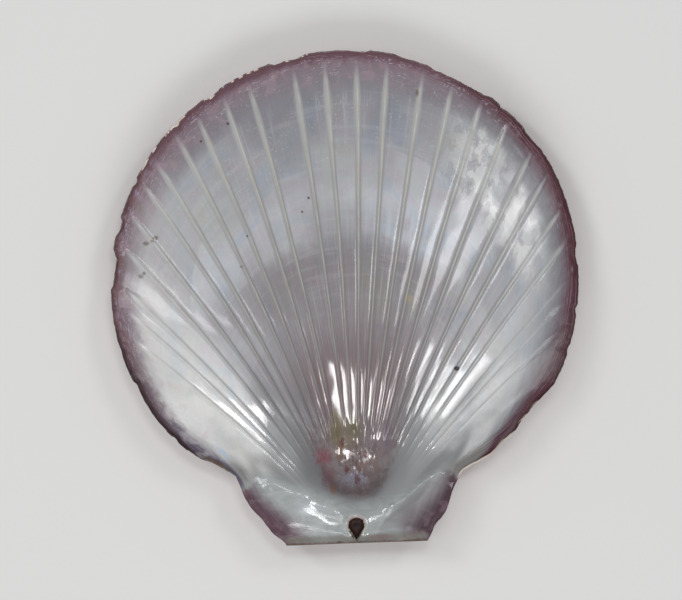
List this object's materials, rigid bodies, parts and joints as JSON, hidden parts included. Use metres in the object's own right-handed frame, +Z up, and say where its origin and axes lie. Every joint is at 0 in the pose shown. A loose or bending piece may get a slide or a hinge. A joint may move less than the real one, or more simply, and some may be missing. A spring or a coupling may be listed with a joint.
{
  "type": "scallop shell",
  "caption": "Smooth round scallop valve lying hollow side up, pearly inside with fine paired ribs, a plum rim, small hinge ears and a dark ligament pad; natural display piece.",
  "frame": {"origin": "centre of the footprint's bounding box, at the height of the surface that the valve's belly rests on", "axes": "+Y from the hinge to the far (ventral) margin, +X to the right looking down into the hollow with the hinge nearest, +Z up, out of the hollow"},
  "size_m": [0.0808, 0.085, 0.0108],
  "materials": {
    "shell": "gloss",
    "ligament": "satin"
  },
  "bodies": {
    "root": {"valve": "shell", "ligament": "ligament"}
  },
  "joints": []
}
